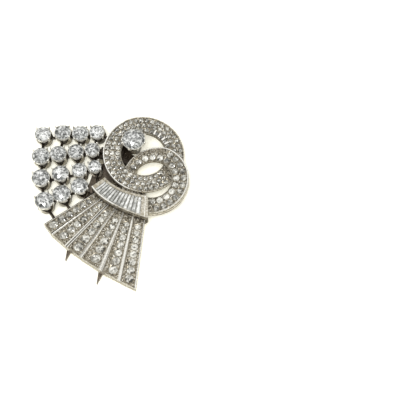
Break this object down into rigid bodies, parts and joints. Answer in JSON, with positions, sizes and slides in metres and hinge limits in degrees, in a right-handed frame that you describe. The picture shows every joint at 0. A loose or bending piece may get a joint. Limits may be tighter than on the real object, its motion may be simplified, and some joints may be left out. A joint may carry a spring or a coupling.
{
  "type": "jewelled dress clip",
  "caption": "Flat dress clip of interlaced pave scrolls, a lattice of claw-set brilliants, a collar of baguettes and a pleated pave fan, with a hinged two-pronged fork behind.",
  "frame": {"origin": "middle of the bounding box in X and Y, at the surface that the clip lies on", "axes": "+Z out of the front, +Y up the front as worn, +X from the lattice of stones to the scrolls"},
  "size_m": [0.0298, 0.0344, 0.0071],
  "materials": {
    "white_metal": "polished white metal, soft with wear",
    "fork_metal": "polished white metal",
    "diamond": "brilliant cut, bright",
    "baguette_diamond": "step cut, clear",
    "pave_diamond": "single cut, bright"
  },
  "bodies": {
    "clip": {"mount": "white_metal", "hinge_pin": "fork_metal", "centre_brilliant": "diamond", "upper_scroll_pave": "pave_diamond", "lower_scroll_pave": "pave_diamond", "fan_pave": "pave_diamond", "brilliant_a1": "diamond", "brilliant_a2": "diamond", "brilliant_a3": "diamond", "brilliant_a4": "diamond", "brilliant_b1": "diamond", "brilliant_b2": "diamond", "brilliant_b3": "diamond", "brilliant_b4": "diamond", "brilliant_c1": "diamond", "brilliant_c2": "diamond", "brilliant_c3": "diamond", "brilliant_c4": "diamond", "brilliant_d1": "diamond", "brilliant_d2": "diamond", "brilliant_d3": "diamond", "baguette_1": "baguette_diamond", "baguette_2": "baguette_diamond", "baguette_3": "baguette_diamond", "baguette_4": "baguette_diamond", "baguette_5": "baguette_diamond", "baguette_6": "baguette_diamond", "baguette_7": "baguette_diamond", "baguette_8": "baguette_diamond", "baguette_9": "baguette_diamond", "baguette_10": "baguette_diamond", "baguette_11": "baguette_diamond", "baguette_12": "baguette_diamond", "baguette_13": "baguette_diamond", "baguette_14": "baguette_diamond"},
    "fork": {"fork": "fork_metal"}
  },
  "joints": [
    {"name": "fork_hinge", "type": "hinge", "parent": "clip", "child": "fork", "pos_m": [0.00158, 0.0097, 0.0011], "axis": [0.9598, -0.2807, 0], "range_deg": [0, 90]}
  ]
}
